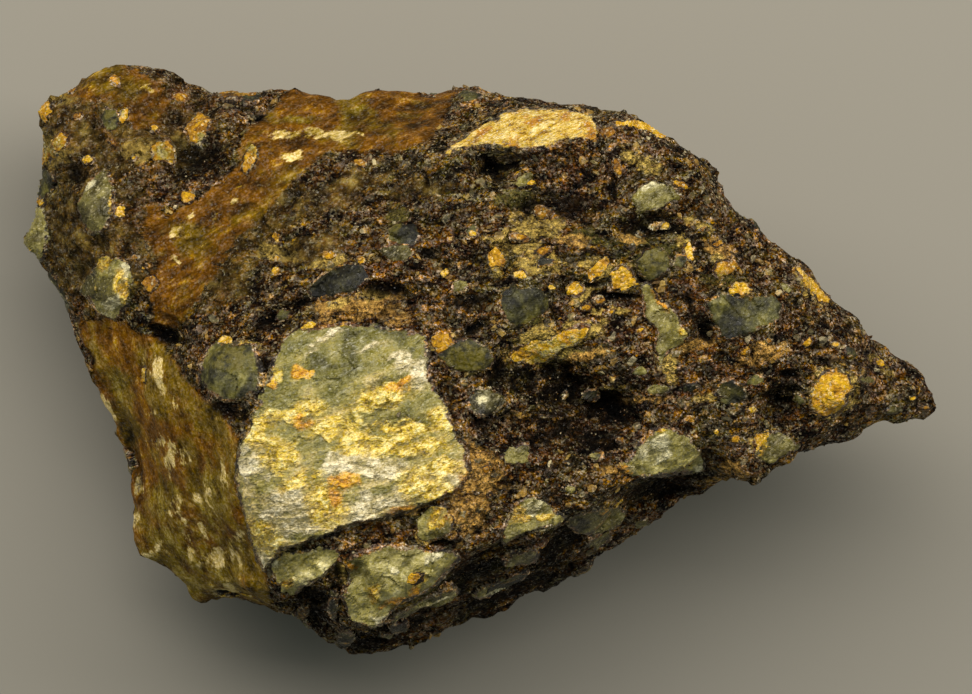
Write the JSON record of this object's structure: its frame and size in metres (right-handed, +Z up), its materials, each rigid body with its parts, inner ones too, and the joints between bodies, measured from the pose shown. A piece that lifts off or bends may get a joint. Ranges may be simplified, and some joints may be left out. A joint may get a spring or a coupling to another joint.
{
  "type": "breccia specimen",
  "caption": "Wedge-shaped breccia hand specimen: angular quartz and chert clasts set in dark, iron-stained gritty cement, resting on a flat broken face.",
  "frame": {"origin": "on the surface the stone rests on, under the middle of its bounding box", "axes": "+X from the blunt lobe towards the pointed end, along the longest extent; +Y towards the back of the broad top face; +Z up from the face it rests on"},
  "size_m": [0.0924, 0.0598, 0.038],
  "materials": {
    "iron_stained_cement": "gritty, dull, with a dark rusty film",
    "vein_quartz": "broken, waxy, with iron-yellow crusts",
    "grey_chert": "smooth waxy breaks",
    "ochre_clasts": "earthy, matt to satin"
  },
  "bodies": {
    "root": {"breccia_stone": "iron_stained_cement"}
  },
  "joints": []
}
